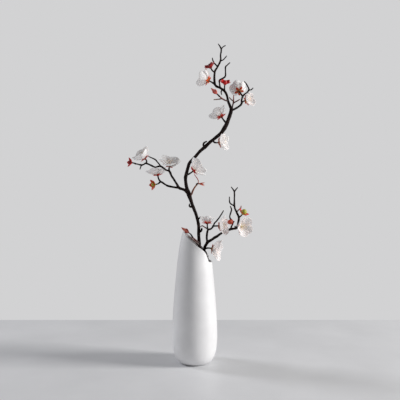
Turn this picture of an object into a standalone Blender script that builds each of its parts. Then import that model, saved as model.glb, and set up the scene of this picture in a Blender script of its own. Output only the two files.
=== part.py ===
"""Plum blossom branch in a tall white vase with a slanted mouth.

The origin is the middle of the vase's flat foot, with +Z up and +X to the right of the front view.
The branch and the blooms are drawn on the front plane (across and up from the foot) and then moved
back or forward along the line of sight from EYE, so their outline from the front stays as drawn.
Lengths in the tables are millimetres.
"""

import math
import random

import bmesh
import bpy
from mathutils import Matrix, Vector

MM = 0.001
GAP = 0.3
WELD = 0.000002
SEED = 7

EYE = Vector((12, -1122, 371))

# Outer profile of the vase as (radius, height), from the foot upwards
FOOT_RADIUS = 29
VASE_OUTER = [
    (34, 1.2),
    (41, 7),
    (46, 16),
    (49.5, 30),
    (51.4, 50),
    (51.5, 75),
    (49.5, 120),
    (45, 177),
    (38, 245),
    (31, 286),
    (26.5, 300),
    (21.5, 312),
]
INNER_FLOOR = [(0, 8), (34, 8)]
INNER_START = 20
WALL_LOW = 5
WALL_TOP = 3.2
VASE_SIDES = 28

# The mouth's slanting curve as (across, up), from the high lip to the low lip
MOUTH_CURVE = [
    (-42, 318),
    (-27.6, 299.5),
    (-17, 287.5),
    (4.6, 269),
    (19, 258.5),
    (27, 249.5),
    (31.5, 237.5),
    (35, 230),
    (60, 226),
]
MOUTH_TURN = math.radians(-4)
CUTTER_TOP = 340
CUTTER_DEPTH = 160

# Forks of the branch as (across, up, back)
FORKS = {
    "rim": (10.8, 242, 20.5),
    "mouth_bloom": (21.9, 258, 13),
    "right_low": (29.2, 274, 8),
    "right_stem": (30, 302, 8),
    "right_inner": (43, 311, 13),
    "upright": (83.3, 304, -8),
    "right_calyx": (101.2, 330.5, 2),
    "right_twig": (96, 343, 4),
    "right_high": (91, 358, 4),
    "right_tips": (91, 389, 0),
    "left": (-14, 385, 15),
    "left_two": (-36.3, 399, 8),
    "left_low": (-78, 413, 10),
    "left_high": (-58.7, 438, -4),
    "left_fine": (-78, 448.5, -8),
    "left_outer": (-111.6, 455.4, -12),
    "left_twig": (-122.6, 451.3, -13),
    "side": (83.7, 577, -9),
    "side_right": (107.4, 592, -12),
    "side_back": (110.2, 609, -8),
    "side_tip": (124.2, 624, -6),
    "shoot": (88.6, 594, -14),
    "pink": (76.4, 598.5, -4),
    "crown_low": (58, 629, 5),
    "crown": (46.5, 636.4, 8),
    "crown_bud": (45.8, 664.5, 11),
    "tip_left": (52.2, 676.7, 10),
    "tip_right": (59.1, 691.6, 8),
    "tips": (60.8, 718, 4),
}

# Each limb as its points (across, up, back, radius), where a fork's name stands for its place
LIMBS = {
    "trunk": [
        (-18, 4.65, -12, 4.9),
        (-17.4, 16, -11.5, 4.8),
        (-11, 70, -4, 4.5),
        (6, 200, 15, 4.1),
        ("rim", 4.3),
        (10.8, 265, 24.4, 4),
        (9, 290, 24.4, 3.9),
        (8.7, 313, 22.6, 3.7),
        (3.5, 336, 21, 3.6),
        (-1, 348, 20, 3.9),
        (-5.3, 359, 18, 3.8),
        (-9.2, 371, 16.5, 4.3),
        ("left", 5.5),
        (-19, 401, 14, 4.2),
        (-21.4, 419, 13, 3.9),
        (-20.2, 428, 12.5, 4.2),
        (-16.5, 442, 11, 3.8),
        (-12.2, 456, 9, 3.7),
        (-4.5, 463.5, 7, 4.1),
        (1.6, 471, 5, 3.7),
        (12, 483, 1, 3.6),
        (23.5, 493, -3, 4.3),
        (35, 504, -6, 3.7),
        (47.6, 514, -9, 3.8),
        (60.3, 525, -12, 4.1),
        (68, 536, -13, 5.1),
        (75, 550, -13, 4.4),
        ("side", 4.3),
        (81, 587, -7, 3.2),
        ("pink", 3),
        (74, 611, 0, 2.6),
        (68.3, 621.5, 3, 2.8),
        ("crown_low", 2.6),
        ("crown", 2.9),
        ("crown_bud", 2.4),
        ("tip_left", 2.2),
        ("tip_right", 2.1),
        (59.2, 704, 6, 1.8),
        ("tips", 1.8),
        (54, 729.6, 2, 1.1),
    ],
    "tip_twig_a": [("tips", 1.5), (65, 723, 4, 1.4), (70.2, 726, 4, 1.1)],
    "tip_twig_b": [("tip_right", 1.7), (65, 693, 6, 1.5), (73.1, 702, 3, 1.1)],
    "tip_twig_c": [("tip_left", 1.7), (48.3, 682, 12, 1.6), (44.2, 686.3, 14, 1.5), (41.2, 692.8, 15, 1.4),
                   (40.5, 697.4, 15, 1.1)],
    "crown_twig": [("crown_low", 2), (56.8, 640, 0, 1.8), (57.2, 646.5, -3, 1.9), (69.5, 654.5, -9, 1.9),
                   (70.6, 665, -10, 1.6), (70.6, 676.7, -10, 1.7), (74.1, 680.6, -11, 1.5),
                   (80.5, 686.6, -12, 1.1)],
    "pink_stalk": [("pink", 1.8), (70.6, 600, -9, 1.7), (63, 604, -13, 1.8), (57, 609, -16, 1.4)],
    "pink_twig": [(63, 604, -13, 1.5), (54, 602.6, -16, 1.4), (44, 601.7, -18, 1.1)],
    "hanging_twig": [(64, 625.5, 4, 1.6), (60.5, 620, 3, 1.5), (62, 613.4, 2, 1.1)],
    "side_bough": [("side", 3.1), (90.2, 579.4, -10, 2.5), (102.8, 587, -12, 2.3), ("side_right", 2.6),
                   (107.8, 600.8, -11, 2.1), ("side_back", 2.3), (116.2, 615.7, -7, 1.8),
                   (120, 618, -6, 1.8), ("side_tip", 2), (123.7, 628.4, -5, 1.6), (117.8, 638.7, -3, 1.5),
                   (113.9, 643.3, -2, 1.1)],
    "side_twig": [("side_tip", 1.5), (129.3, 624.2, -8, 1.4), (133.9, 628.4, -9, 1.1)],
    "new_shoot": [(85.6, 578.5, -10, 2.1), (86.9, 588, -13, 1.7), ("shoot", 1.8), (89.2, 602, -15, 1.5),
                  (89.2, 611, -16, 1.1)],
    "shoot_left": [(88.9, 598, -14.5, 1.5), (82.8, 603, -17, 1.4), (79.4, 607, -18, 1.1)],
    "shoot_right": [("shoot", 1.5), (97, 598.5, -18, 1.4), (103, 602, -20, 1.1)],
    "elbow_hook": [(23.5, 493, -3, 2.8), (19.9, 497, -4, 2.4), (20.3, 501.2, -5, 2.1), (23.7, 504, -6, 1.9),
                   (27.2, 505.6, -7, 1.5)],
    "low_hook": [(-4, 356, 18.5, 2.8), (-10.4, 355.4, 17, 2.3), (-12.3, 358.4, 16, 2),
                 (-12.2, 361.3, 15.5, 1.4)],
    "neck_hook": [(8.8, 297, 24, 2.8), (14, 299.6, 21.5, 2.6), (16.2, 303.5, 20, 2.2),
                  (16.4, 306, 19.5, 1.5)],
    "neck_stub": [(6, 325, 22, 2.3), (11, 329.5, 20, 1.7), (12.6, 332, 19, 1.2)],
    "left_bough": [("left", 4.5), (-21.4, 392.6, 12, 3.8), (-28.3, 396, 10, 3.2), ("left_two", 3.5),
                   (-42, 408.7, 5, 2.5), (-47.8, 418, 2, 2.4), (-53.6, 427, -1, 2.4), ("left_high", 2.9),
                   (-63.9, 439, -5, 2.1), (-68.5, 441.6, -6, 2.2), ("left_fine", 2.4),
                   (-86.9, 447.4, -9, 1.9), (-92.7, 447, -9, 1.9), ("left_outer", 2.2),
                   (-116.8, 452.9, -12, 1.7), ("left_twig", 2), (-129.5, 452.9, -13, 1.6),
                   (-138, 454.8, -14, 1.4)],
    "left_low_bough": [("left_two", 2.6), (-45.5, 400, 9, 2.3), (-61.6, 403.4, 11, 2.4),
                       (-68.5, 407, 11, 2.1), ("left_low", 2.4), (-83.5, 409.2, 9, 1.5)],
    "left_fine_twig": [("left_fine", 1.8), (-82.3, 454, -4, 1.6), (-86.9, 459.3, -1, 1.6),
                       (-91, 464, 1, 1.7), (-101.9, 469.2, 5, 1.4), (-106, 471, 7, 1.1)],
    "left_hanging_twig": [("left_twig", 1.6), (-124.4, 446.7, -15, 1.4), (-126, 442, -16, 1.1)],
    "red_shoot": [(-12.5, 381, 15.5, 2.2), (-8, 383.6, 10, 2.2), (-4.4, 392.5, 7, 2.1), (0.3, 400.8, 5, 1.8),
                  (5.6, 407, 3, 1.5)],
    "red_sprig": [(5, 406.3, 3.2, 1.1), (8.3, 412.5, 4, 1), (6.6, 419, 6.5, 0.95), (-0.7, 429.4, 9, 0.8)],
    "right_bough": [("rim", 4.1), ("mouth_bloom", 3.7), (23.5, 264, 11, 3.5), (26.9, 269.6, 9, 3.5),
                    ("right_low", 4.1), (35, 277.6, 4, 3.3), (40.7, 281, 1, 3), (46.5, 285, -3, 3.2),
                    (52.2, 288, -6, 2.8), (58, 292.6, -8, 2.7), (70, 299.5, -9, 2.6), ("upright", 3.1),
                    (90.2, 305.2, -7, 2.4), (95.5, 306, -6, 2.6), (98, 311, -4, 2.3), (99.4, 318, -2, 2.2),
                    ("right_calyx", 2.7), ("right_twig", 2.5), (92.5, 351, 5, 2), ("right_high", 2.3),
                    (91, 371, 2, 1.8), ("right_tips", 1.9), (87.5, 396, 0, 1.5), (84, 400.7, 1, 1.1)],
    "right_tip_twig": [("right_tips", 1.6), (94.5, 395, -2, 1.5), (98.2, 399.5, -4, 1.1)],
    "right_left_twig": [("right_high", 1.8), (85.6, 360.4, 6, 1.6), (81, 363.9, 8, 1.7),
                        (79.7, 369, 9, 1.5), (79.6, 377.7, 10, 1.1)],
    "right_red_twig": [("right_twig", 1.8), (100.5, 347.8, 9, 1.6), (105.1, 350.8, 11, 1.6),
                       (106.5, 357, 12, 1.1)],
    "right_stem": [("right_low", 2.8), (28.1, 279, 8, 2.5), (27.4, 286, 8, 2.4), ("right_stem", 2.8),
                   (36.1, 304, 9.5, 2), (40.7, 308, 11.5, 2), ("right_inner", 2.3), (44.9, 317, 11, 1.7),
                   (49.9, 322.5, 8, 1.7), (55.7, 329.8, 3, 1.6), (61.4, 338.6, 0, 1.5),
                   (66, 346.6, -3, 1.1)],
    "upright_twig": [("upright", 2.3), (84, 309, -5, 2), (86.9, 315, -3, 1.8), (87.9, 319.5, -1, 1.8),
                     (84.6, 324.5, 1, 2.2), (81.3, 329, 2, 1.8), (80.4, 333.5, 3, 1.7), (82, 340, 4, 1.6),
                     (84.3, 347, 4, 1.7), (84, 351.5, 4, 1.5), (81.7, 356.3, 4, 1.1)],
    "right_stub": [(94, 305.8, -6.5, 2.3), (92.6, 310.5, -9, 1.5)],
    "pale_curl": [(29.8, 304, 8, 1.7), (22, 309, 5, 1.4), (17, 311.8, 7, 1.4), (13.6, 310, 8, 1.1)],
    "neck_stalk": [(10, 272, 23, 2.4), (0.5, 280, 19, 1.9), (-5.3, 285.7, 16, 1.5)],
    "neck_twig": [(10.3, 268, 23, 2.2), (2.8, 273.5, 19, 1.8), (-4.1, 279.3, 16, 1.6), (-9.9, 284, 14, 1.5),
                  (-14.8, 288, 12, 1.1)],
}

# Limbs whose names end so are six-sided, and twigs and stalks are four-sided
THICK_LIMBS = ("trunk", "bough", "stem")

# Blooms: calyx (across, up, back), facing (right, back, up), petal length, opening at the root and the tip,
# roll, and the stalk's root
BLOOMS = {
    "crown_left": ((33.6, 644.6, 10), (-0.82, 0.3, 0.46), 28.5, 76, 24, 20, ("crown",)),
    "crown_back": ((103, 620, 4), (-0.22, 0.7, 0.68), 25, 76, 24, 0, ("side_back",)),
    "crown_right": ((115, 599, -24), (0.82, -0.52, 0.18), 21, 72, 20, 50, ("side_right",)),
    "upper_left": ((62.2, 560.5, -6), (-0.52, 0.27, 0.8), 26.5, 76, 28, 10, (73, 547, -13)),
    "upper_right": ((53.4, 503, -26), (0.94, -0.3, 0.12), 26, 76, 22, 30, (42, 509, -8)),
    "middle": ((-5, 436.5, -16), (0.74, 0.2, 0.6), 31, 77, 26, 0, (-19.5, 430, 12)),
    "left_outer": ((-113, 464.5, -14), (-0.6, -0.32, 0.72), 28.5, 76, 24, 15, ("left_outer",)),
    "left_inner": ((-58.8, 447, -14), (0.12, -0.45, 0.88), 29, 82, 38, 40, ("left_high",)),
    "left_lower": ((-84.5, 425.5, 20), (-0.16, 0.06, 0.98), 28, 84, 44, 0, ("left_low",)),
    "right_inner": ((28.8, 315, 0), (0, 0.3, 0.95), 20, 74, 28, 25, ("right_stem",)),
    "right_middle": ((54, 311.5, -27), (0.93, -0.36, 0.05), 26.5, 82, 32, 24, ("right_inner",)),
    "right_outer": ((105, 310.5, -19), (0.55, -0.83, -0.05), 27, 79, 28, 55, (98, 311, -4)),
    "mouth": ((36.8, 260, 0), (0.95, -0.2, -0.15), 31, 76, 22, 5, ("mouth_bloom",)),
}

# Buds, each with its base (across, up, back), facing (right, back, up), length, form and stalk's root
BUDS = {
    "crown_left": ((37.5, 673.5, 4), (-0.45, -0.42, 0.79), 16.5, "star", ("crown_bud",)),
    "crown_right": ((69, 635.4, -3), (0.1, -0.52, 0.85), 16, "star", (68.3, 621.5, 3)),
    "crown_pink": ((51.3, 614.8, -19), (-0.7, -0.1, 0.65), 20, "bud", (57, 609, -16)),
    "left_outer": ((-143.8, 456.6, -14), (-0.84, -0.5, 0.14), 13, "star", (-136, 454.3, -14)),
    "left_lower": ((-90.3, 406.8, 6), (-0.82, -0.55, -0.12), 15, "star", ("left_low",)),
    "right_inner": ((86.4, 321.4, -19), (-0.72, -0.68, -0.1), 15, "plump", (86.9, 318.5, -2)),
    "right_outer": ((109.4, 338.4, 0), (0.5, -0.45, 0.74), 16, "ripe", ("right_calyx",)),
    "neck": ((-13.6, 295.6, 10), (-0.8, -0.2, 0.58), 22.5, "bud", (-5.3, 285.7, 16)),
    "trunk": ((8, 408.6, 1.6), (0.95, -0.2, -0.1), 15, "sprout", (4.2, 405.5, 3.4)),
}

# A bloom's shapes about its own axis, as (radius or out, height), from the cup's underside upwards
PETALS = 5
CUP_HEIGHT = 3.3
CUP = [(0, 0), (1.8, 0), (3.5, CUP_HEIGHT), (0, CUP_HEIGHT)]
SPREAD_SEPAL = [(1, 2.3), (6.5, 1.7), (12.2, 2.7)]
SEPAL_WIDTH = 5
SEPAL_TAPER = (0.4, 1, 0.25)
SEPAL_THICKNESS = 0.9
PETAL_FLOOR = CUP_HEIGHT + GAP
PETAL_BASE = [(0, PETAL_FLOOR), (3.2, PETAL_FLOOR), (3.2, PETAL_FLOOR + 2.3), (0, PETAL_FLOOR + 2.5)]
STAMENS = 4
STAMEN_FLOOR = PETAL_FLOOR + 2.9
HEART = [(0, STAMEN_FLOOR), (2, STAMEN_FLOOR), (1.8, STAMEN_FLOOR + 1), (0, STAMEN_FLOOR + 1)]
STAMEN_OUT = 0.75
STAMEN_ROOT = STAMEN_FLOOR + 0.35
STAMEN_REACH = (0.34, 0.48)
STAMEN_LEAN = (14, 34)

# A petal's blade: a narrow claw, broadest near the tip, cupped across and a little twisted
PETAL_SEGMENTS = 3
PETAL_THICKNESS = 0.7
PETAL_BREADTH = 1.04
PETAL_TWIST = math.radians(10)
PETAL_ROOT = 1.9
PETAL_RISE = PETAL_FLOOR + 1
CLAW_SHARE = 0.1
BROADEST = 0.74
SHOULDER = 1.3
TIP_ROUNDING = 0.18
EDGE_WAVE = 0.5
STRAIGHTEST_CUP = 4

# Buds, where each length is a share of the bud's own: body's profile, sepal's line, lobes, sides, sepal width
BUD_FORMS = {
    "bud": (
        [(0, 0), (0.07, 0), (0.19, 0.35), (0.114, 0.75), (0, 1)],
        [(0.012, 0.05), (0.24, 0.3), (0.215, 0.56)],
        3,
        6,
        0.2,
    ),
    "plump": (
        [(0, 0), (0.12, 0), (0.37, 0.38), (0.29, 0.74), (0, 0.98)],
        [(0.06, 0.03), (0.34, 0.1), (0.43, 0.36)],
        3,
        6,
        0.36,
    ),
    "star": (
        [(0, 0), (0.12, 0), (0.3, 0.26), (0.27, 0.5), (0, 0.7)],
        [(0.12, 0.21), (0.58, 0.37), (0.86, 0.76)],
        5,
        5,
        0.64,
    ),
    "ripe": (
        [(0, 0), (0.14, 0), (0.41, 0.3), (0.37, 0.64), (0, 0.85)],
        [(0.13, 0.16), (0.58, 0.26), (0.84, 0.56)],
        5,
        5,
        0.52,
    ),
    "sprout": (
        [(0, 0), (0.086, 0), (0.086, 0.13), (0, 0.24)],
        [(0.03, 0.09), (0.12, 0.46), (0.2, 0.98)],
        3,
        6,
        0.17,
    ),
}

# Flower stalks: thickness at the root and at the end, for blooms and for buds
BLOOM_STALK = (2.3, 1.7)
BUD_STALK = (2, 1.5)
STALK_NECK = 2

CERAMIC = ("white_glazed_ceramic", (0.82, 0.81, 0.79), 0.3)
BARK = ("dark_plum_bark", (0.022, 0.012, 0.01), 0.7)
PETAL = ("white_petal", (0.86, 0.79, 0.76), 0.6)
SEPAL = ("crimson_sepal", (0.42, 0.03, 0.02), 0.6)
STAMEN = ("cream_stamen", (0.8, 0.6, 0.3), 0.7)


def clear_scene():
    for obj in list(bpy.data.objects):
        bpy.data.objects.remove(obj, do_unlink=True)


def new_collection(name):
    collection = bpy.data.collections.new(name)
    bpy.context.scene.collection.children.link(collection)
    return collection


def material(node, finish):
    """The node's own Principled material in the given finish."""
    name, colour, roughness = finish
    made = bpy.data.materials.new(f"{node}_{name}")
    made.use_nodes = True
    shader = made.node_tree.nodes["Principled BSDF"]
    shader.inputs["Base Color"].default_value = (*colour, 1)
    shader.inputs["Roughness"].default_value = roughness
    shader.inputs["Metallic"].default_value = 0
    return made


def in_depth(across, up, back):
    """The point of the front plane, moved back along the line of sight, in metres."""
    drawn = Vector((across, 0, up))
    return (EYE + (drawn - EYE) * ((back - EYE.y) / -EYE.y)) * MM


def smooth(points, steps):
    """Catmull-Rom curve through the points."""
    curve = []
    for index in range(len(points) - 1):
        before = points[max(index - 1, 0)]
        start = points[index]
        end = points[index + 1]
        after = points[min(index + 2, len(points) - 1)]
        for step in range(steps):
            t = step / steps
            bend = (2 * before - 5 * start + 4 * end - after) * t * t
            swing = (3 * start - before - 3 * end + after) * t * t * t
            curve.append((2 * start + (end - before) * t + bend + swing) / 2)
    curve.append(points[-1])
    return curve


def object_from(bm, name, collection):
    """An object of the bmesh, with its faces outwards."""
    bmesh.ops.recalc_face_normals(bm, faces=bm.faces)
    mesh = bpy.data.meshes.new(name)
    bm.to_mesh(mesh)
    bm.free()
    obj = bpy.data.objects.new(name, mesh)
    collection.objects.link(obj)
    return obj


def evaluated_mesh(obj):
    """The object's mesh with its modifiers, welded and triangulated."""
    bpy.context.view_layer.update()
    graph = bpy.context.evaluated_depsgraph_get()
    mesh = bpy.data.meshes.new_from_object(obj.evaluated_get(graph))
    bm = bmesh.new()
    bm.from_mesh(mesh)
    bmesh.ops.remove_doubles(bm, verts=bm.verts, dist=WELD)
    bmesh.ops.triangulate(bm, faces=bm.faces)
    bm.to_mesh(mesh)
    bm.free()
    return mesh


def as_mesh(obj, name):
    """Replaces a curve, or an object with modifiers, by its plain mesh."""
    made = bpy.data.objects.new(name, evaluated_mesh(obj))
    arrangement.objects.link(made)
    bpy.data.objects.remove(obj, do_unlink=True)
    return made


def fused(name, pieces, finish, place=None):
    """One object from overlapping closed pieces."""
    helpers = new_collection(f"{name}_pieces")
    for piece in pieces[1:]:
        arrangement.objects.unlink(piece)
        helpers.objects.link(piece)
    first = pieces[0]
    union = first.modifiers.new("fuse", "BOOLEAN")
    union.operation = "UNION"
    union.operand_type = "COLLECTION"
    union.collection = helpers
    union.solver = "MANIFOLD"
    body = as_mesh(first, name)
    for piece in pieces[1:]:
        bpy.data.objects.remove(piece, do_unlink=True)
    bpy.data.collections.remove(helpers)
    body.data.materials.clear()
    body.data.materials.append(material(name, finish))
    body.data.shade_smooth()
    body.data.set_sharp_from_angle(angle=math.radians(50))
    if place is not None:
        body.matrix_world = place
    return body


def turned(profile, sides, name, place=None):
    """A closed turned solid from (radius, height) points that begin and end on the axis."""
    bm = bmesh.new()
    verts = [bm.verts.new((radius * MM, 0, height * MM)) for radius, height in profile]
    edges = [bm.edges.new(pair) for pair in zip(verts, verts[1:])]
    bmesh.ops.spin(
        bm,
        geom=verts + edges,
        cent=(0, 0, 0),
        axis=(0, 0, 1),
        angle=math.tau,
        steps=sides,
        use_merge=True,
    )
    bmesh.ops.remove_doubles(bm, verts=bm.verts, dist=WELD)
    bmesh.ops.triangulate(bm, faces=bm.faces)
    if place is not None:
        bmesh.ops.transform(bm, matrix=place, verts=bm.verts)
    return object_from(bm, name, arrangement)


def wall_at(height):
    """Wall thickness, thinning from the floor to the lip."""
    share = min(max(height / MOUTH_CURVE[0][1], 0), 1)
    return WALL_LOW + (WALL_TOP - WALL_LOW) * share


def make_vase():
    """The turned wall and floor, cut along the mouth's curve."""
    inner = [(radius - wall_at(height), height) for radius, height in VASE_OUTER if height > INNER_START]
    profile = INNER_FLOOR + inner + VASE_OUTER[::-1] + [(FOOT_RADIUS, 0), (0, 0)]
    mesh = bpy.data.meshes.new("vase_profile")
    bm = bmesh.new()
    verts = [bm.verts.new((radius * MM, 0, height * MM)) for radius, height in profile]
    for pair in zip(verts, verts[1:]):
        bm.edges.new(pair)
    bm.to_mesh(mesh)
    bm.free()
    body = bpy.data.objects.new("vase_profile", mesh)
    arrangement.objects.link(body)
    screw = body.modifiers.new("turn", "SCREW")
    screw.steps = VASE_SIDES
    screw.render_steps = VASE_SIDES
    screw.use_merge_vertices = True
    screw.merge_threshold = 0.00001
    cut = body.modifiers.new("mouth", "BOOLEAN")
    cut.operation = "DIFFERENCE"
    cut.object = make_mouth_cutter()
    vase = as_mesh(body, "vase")
    vase.data.materials.append(material("vase", CERAMIC))
    vase.data.shade_smooth()
    vase.data.set_sharp_from_angle(angle=math.radians(40))
    return vase


def make_mouth_cutter():
    """A deep block above the mouth's curve, turned so that the low lip comes a little forward."""
    line = smooth([Vector(point) for point in MOUTH_CURVE], 2)
    outline = line + [Vector((line[-1].x, CUTTER_TOP)), Vector((line[0].x, CUTTER_TOP))]
    bm = bmesh.new()
    face = bm.faces.new(
        [bm.verts.new((point.x * MM, -CUTTER_DEPTH / 2 * MM, point.y * MM)) for point in outline]
    )
    grown = bmesh.ops.extrude_face_region(bm, geom=[face])
    moved = [item for item in grown["geom"] if isinstance(item, bmesh.types.BMVert)]
    bmesh.ops.translate(bm, vec=(0, CUTTER_DEPTH * MM, 0), verts=moved)
    cutter = object_from(bm, "mouth_cutter", cutters)
    cutter.rotation_euler.z = MOUTH_TURN
    cutter.hide_render = True
    cutter.display_type = "WIRE"
    return cutter


def tube(name, points, roundness):
    """A closed tube through (place, radius) pairs."""
    curve = bpy.data.curves.new(name, "CURVE")
    curve.dimensions = "3D"
    curve.bevel_depth = MM
    curve.bevel_resolution = roundness
    curve.use_fill_caps = True
    spline = curve.splines.new("POLY")
    spline.points.add(len(points) - 1)
    for target, (place, radius) in zip(spline.points, points):
        target.co = (*place, 1)
        target.radius = radius
    obj = bpy.data.objects.new(name, curve)
    arrangement.objects.link(obj)
    return as_mesh(obj, name)


def limb_points(limb):
    """A limb's (place, radius) pairs, with the forks' names replaced by their places."""
    points = []
    for entry in limb:
        if isinstance(entry[0], str):
            points.append((in_depth(*FORKS[entry[0]]), entry[1]))
        else:
            points.append((in_depth(*entry[:3]), entry[3]))
    return points


def stalk_points(root, end, facing, thick, thin):
    """A short stalk that leaves its limb and ends square behind a calyx."""
    start = in_depth(*(FORKS[root[0]] if len(root) == 1 else root))
    facing = Vector(facing).normalized()
    finish = in_depth(*end) - facing * GAP * MM
    neck = finish - facing * STALK_NECK * MM
    bend = neck - facing * (neck - start).length * 0.4
    middle = start * 0.25 + bend * 0.5 + neck * 0.25
    return [(start, thick), (middle, (thick + thin) / 2), (neck, thin), (finish, thin)]


def make_branch():
    """The limbs and the flower stalks as one body."""
    pieces = []
    for name, limb in LIMBS.items():
        roundness = int(name.endswith(THICK_LIMBS))
        pieces.append(tube(name, limb_points(limb), roundness))
    for name, (calyx, facing, *_, root) in BLOOMS.items():
        points = stalk_points(root, calyx, facing, *BLOOM_STALK)
        pieces.append(tube(f"{name}_stalk", points, 0))
    for name, (base, facing, _, _, root) in BUDS.items():
        points = stalk_points(root, base, facing, *BUD_STALK)
        pieces.append(tube(f"{name}_bud_stalk", points, 0))
    return fused("branch", pieces, BARK)


def petal(name, length, root_angle, tip_angle, place, wave):
    """A cupped, slightly twisted blade that grows outwards from the axis and bends up towards it."""
    bm = bmesh.new()
    bmesh.ops.create_grid(bm, x_segments=PETAL_SEGMENTS, y_segments=PETAL_SEGMENTS, size=1)
    curl = (tip_angle - root_angle) / length
    for vert in bm.verts:
        share = ((vert.co.y + 1) / 2) ** 0.85
        side = vert.co.x if share > 0 else math.copysign(1, vert.co.x)
        along = length * share * (1 - TIP_ROUNDING * side * side * share)
        swell = math.sin(math.pi * BROADEST * share**SHOULDER)
        half = length * PETAL_BREADTH / 2 * (CLAW_SHARE + (1 - CLAW_SHARE) * swell)
        across = side * half
        angle = root_angle + curl * along
        out = PETAL_ROOT + (math.cos(root_angle) - math.cos(angle)) / curl
        rise = PETAL_RISE + (math.sin(angle) - math.sin(root_angle)) / curl
        lift = across * across * math.cos(angle) / (2 * max(out, STRAIGHTEST_CUP))
        lift += across * math.tan(PETAL_TWIST)
        lift += EDGE_WAVE * math.sin(math.pi * side * 1.5 + wave) * share * share
        vert.co = Vector(
            (
                (out - lift * math.cos(angle)) * MM,
                across * MM,
                (rise + lift * math.sin(angle)) * MM,
            )
        )
    bmesh.ops.remove_doubles(bm, verts=bm.verts, dist=WELD)
    bmesh.ops.triangulate(bm, faces=bm.faces)
    bmesh.ops.transform(bm, matrix=place, verts=bm.verts)
    sheet = object_from(bm, f"{name}_sheet", arrangement)
    blade = sheet.modifiers.new("thickness", "SOLIDIFY")
    blade.thickness = PETAL_THICKNESS * MM
    blade.offset = 0
    return as_mesh(sheet, name)


def sepal(name, line, width, place):
    """A flat pointed lobe along a line of three (out, up) points."""
    bm = bmesh.new()
    bmesh.ops.create_grid(bm, x_segments=1, y_segments=2, size=1)
    for vert in bm.verts:
        station = round(vert.co.y + 1)
        half = width / 2 * SEPAL_TAPER[station]
        out, rise = line[station]
        vert.co = Vector((out * MM, vert.co.x * half * MM, rise * MM))
    bmesh.ops.triangulate(bm, faces=bm.faces)
    bmesh.ops.transform(bm, matrix=place, verts=bm.verts)
    sheet = object_from(bm, f"{name}_sheet", arrangement)
    blade = sheet.modifiers.new("thickness", "SOLIDIFY")
    blade.thickness = SEPAL_THICKNESS * MM
    blade.offset = 0
    return as_mesh(sheet, name)


def facing_frame(base, facing, roll):
    """World placing with +Z along the facing direction."""
    turn = Vector(facing).normalized().to_track_quat("Z", "Y").to_matrix().to_4x4()
    return Matrix.Translation(in_depth(*base)) @ turn @ Matrix.Rotation(math.radians(roll), 4, "Z")


def make_bloom(name, calyx, facing, length, root_opening, tip_opening, roll, draw):
    """A bloom's petals, calyx and stamens, each one body on the bloom's own axis."""
    frame = facing_frame(calyx, facing, roll)
    half_step = Matrix.Rotation(math.pi / PETALS, 4, "Z")
    pieces = [turned(PETAL_BASE, PETALS, f"{name}_petal_base", half_step)]
    for index in range(PETALS):
        turn = Matrix.Rotation(math.tau * index / PETALS + draw.uniform(-0.05, 0.05), 4, "Z")
        reach = length * draw.uniform(0.95, 1.05)
        root_angle = math.radians(root_opening + draw.uniform(-3, 3))
        tip_angle = math.radians(tip_opening + draw.uniform(-6, 6))
        wave = draw.uniform(0, math.tau)
        pieces.append(
            petal(f"{name}_petal_{index}", reach, root_angle, tip_angle, turn, wave)
        )
    fused(f"bloom_{name}_petals", pieces, PETAL, frame)

    pieces = [turned(CUP, PETALS, f"{name}_cup")]
    for index in range(PETALS):
        turn = Matrix.Rotation(math.tau * (index + 0.5) / PETALS, 4, "Z")
        pieces.append(sepal(f"{name}_sepal_{index}", SPREAD_SEPAL, SEPAL_WIDTH, turn))
    fused(f"bloom_{name}_calyx", pieces, SEPAL, frame)

    pieces = [turned(HEART, STAMENS, f"{name}_heart", half_step)]
    for index in range(STAMENS):
        reach = length * draw.uniform(*STAMEN_REACH)
        lean = math.radians(draw.uniform(*STAMEN_LEAN))
        turn = math.tau * (index + draw.uniform(-0.15, 0.15)) / STAMENS
        thread = [(0, 0), (0.42, 0), (0.34, reach), (0.85, reach + 0.8), (0, reach + 1.8)]
        place = (
            Matrix.Rotation(turn, 4, "Z")
            @ Matrix.Translation((STAMEN_OUT * MM, 0, STAMEN_ROOT * MM))
            @ Matrix.Rotation(lean, 4, "Y")
        )
        pieces.append(turned(thread, 3, f"{name}_stamen_{index}", place))
    fused(f"bloom_{name}_stamens", pieces, STAMEN, frame)


def make_bud(name, base, facing, length, form):
    """A closed pointed bud in its sepals, an open calyx of five lobes with a knob, or a leafy sprout."""
    body, line, lobes, sides, width = BUD_FORMS[form]
    body = [(radius * length, height * length) for radius, height in body]
    line = [(out * length, height * length) for out, height in line]
    pieces = [turned(body, sides, f"{name}_bud_body")]
    for index in range(lobes):
        turn = Matrix.Rotation(math.tau * (index + 0.5) / lobes, 4, "Z")
        pieces.append(sepal(f"{name}_bud_sepal_{index}", line, width * length, turn))
    fused(f"bud_{name}", pieces, SEPAL, facing_frame(base, facing, 0))


clear_scene()
arrangement = new_collection("plum_blossom_in_vase")
cutters = new_collection("cutters")
make_vase()
make_branch()
drawn = random.Random(SEED)
for bloom_name, (*shape, _) in BLOOMS.items():
    make_bloom(bloom_name, *shape, drawn)
for bud_name, (*shape, _) in BUDS.items():
    make_bud(bud_name, *shape)
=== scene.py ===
"""Plum blossom branch in a tall white vase with a slanted mouth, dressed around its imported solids.

Lengths in the tables are millimetres. A point of the branch is (across, up, back): its place on the front
view, moved back along the line of sight from EYE.
"""

import math
import random

import bmesh
import bpy
from mathutils import Matrix, Vector, noise
from mathutils.kdtree import KDTree


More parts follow.
